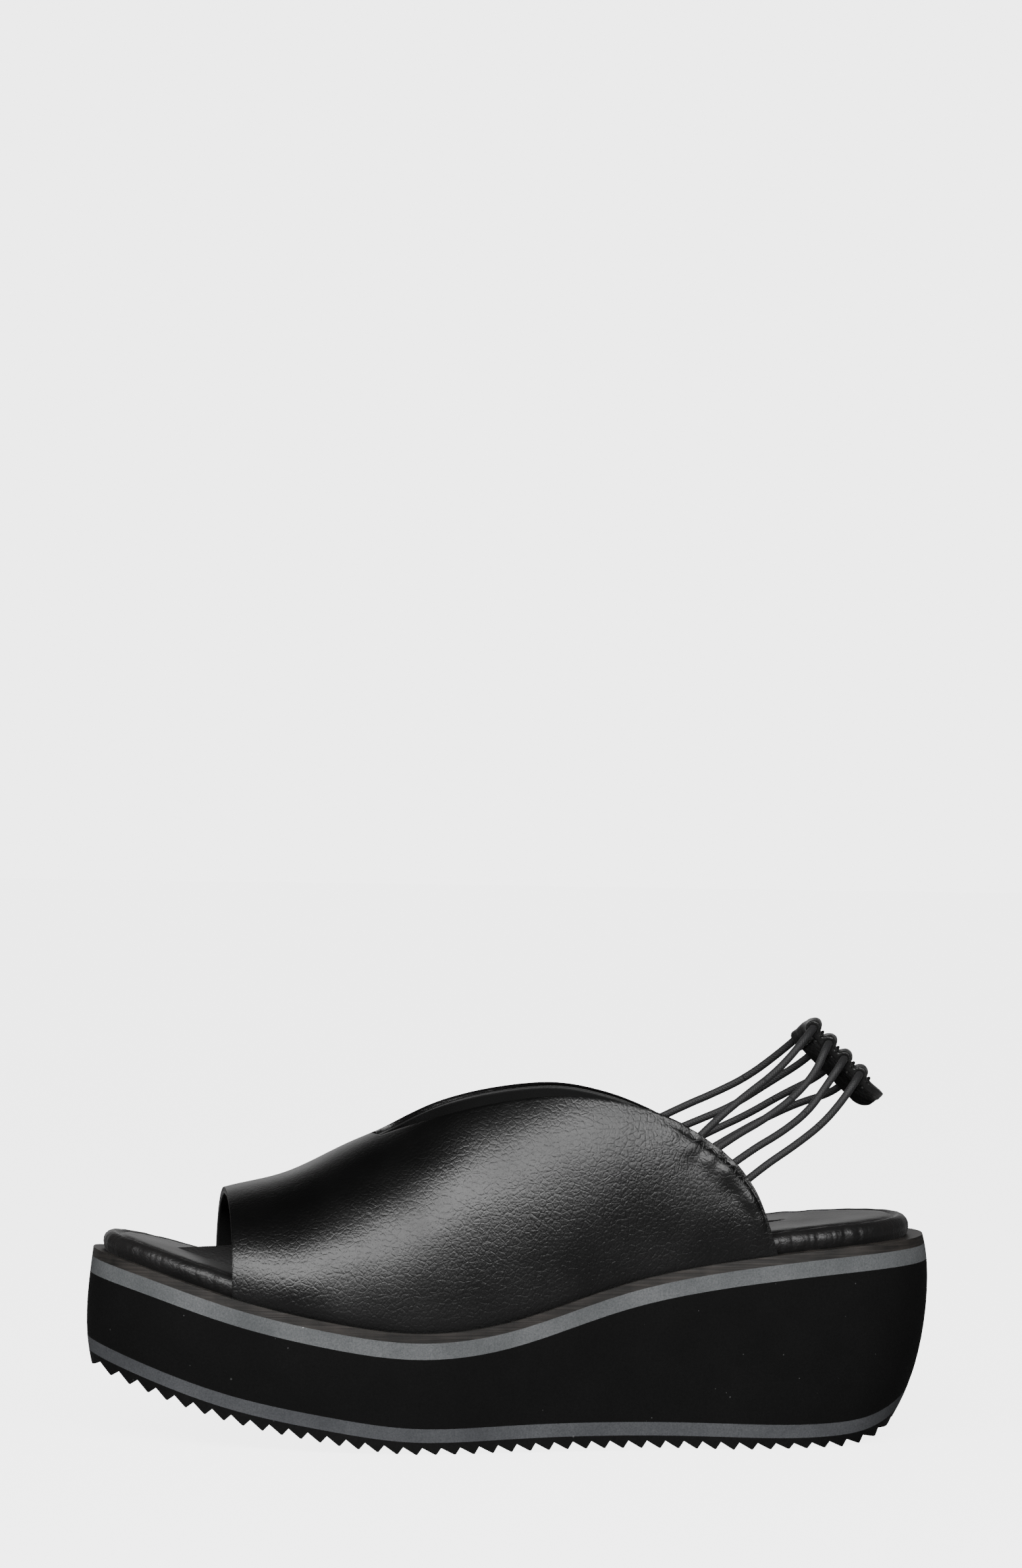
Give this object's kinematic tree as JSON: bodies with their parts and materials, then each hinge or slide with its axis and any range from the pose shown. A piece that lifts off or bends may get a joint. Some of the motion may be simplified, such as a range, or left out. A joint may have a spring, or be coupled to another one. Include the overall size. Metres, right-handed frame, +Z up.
{
  "type": "wedge sandal",
  "caption": "Left slingback sandal on a flatform wedge: open toe, wide vamp with a V throat and wings, and a corrugated heel strip on elastic cords.",
  "frame": {"origin": "on the floor, under the middle of the sole's length and width", "axes": "+X towards the heel, +Y towards the medial side, +Z up"},
  "size_m": [0.26, 0.0967, 0.1297],
  "materials": {
    "outsole": "matte black moulded rubber",
    "lower_stripe": "fine-celled grey foam rubber, cut and buffed",
    "wedge_core": "fine-celled black foam rubber, cut and buffed",
    "upper_stripe": "fine-celled grey foam rubber, cut and buffed",
    "rand": "dark leatherboard with a buffed edge",
    "insole_board": "pressed cellulose board",
    "footbed_foam": "soft open-celled foam",
    "footbed_cover": "soft dark grey-black leather with a low sheen",
    "vamp_leather": "smooth black leather with a soft sheen",
    "vamp_lining": "thin matte black lining leather",
    "casing": "folded black leather tape",
    "thread": "black bonded thread",
    "elastic": "braided black cover over a rubber core",
    "heel_strip": "smooth black leather with a soft sheen"
  },
  "bodies": {
    "shoe": {"outsole": "outsole", "lower_stripe": "lower_stripe", "wedge_core": "wedge_core", "upper_stripe": "upper_stripe", "rand": "rand", "insole_board": "insole_board", "footbed_foam": "footbed_foam", "footbed_cover": "footbed_cover", "vamp_leather": "vamp_leather", "vamp_lining": "vamp_lining", "lateral_casing": "casing", "medial_casing": "casing", "lateral_casing_stitching": "thread", "medial_casing_stitching": "thread"},
    "sling": {"elastic_cord_1": "elastic", "elastic_cord_2": "elastic", "elastic_cord_3": "elastic", "elastic_cord_4": "elastic"},
    "heel_strip": {"heel_strip": "heel_strip", "heel_strip_stitching": "thread"}
  },
  "joints": [
    {"name": "sling_swing", "type": "hinge", "parent": "shoe", "child": "sling", "pos_m": [0.0622, 0, 0.089], "axis": [0, 1, 0], "range_deg": [-50, 30], "stiffness_Nm_per_rad": 0.15, "deforming": ["elastic_cord_1", "elastic_cord_2", "elastic_cord_3", "elastic_cord_4"]},
    {"name": "sling_stretch", "type": "slide", "parent": "sling", "child": "heel_strip", "axis": [0.7794, 0, 0.6265], "range_m": [0, 0.015], "stiffness_N_per_m": 400}
  ]
}
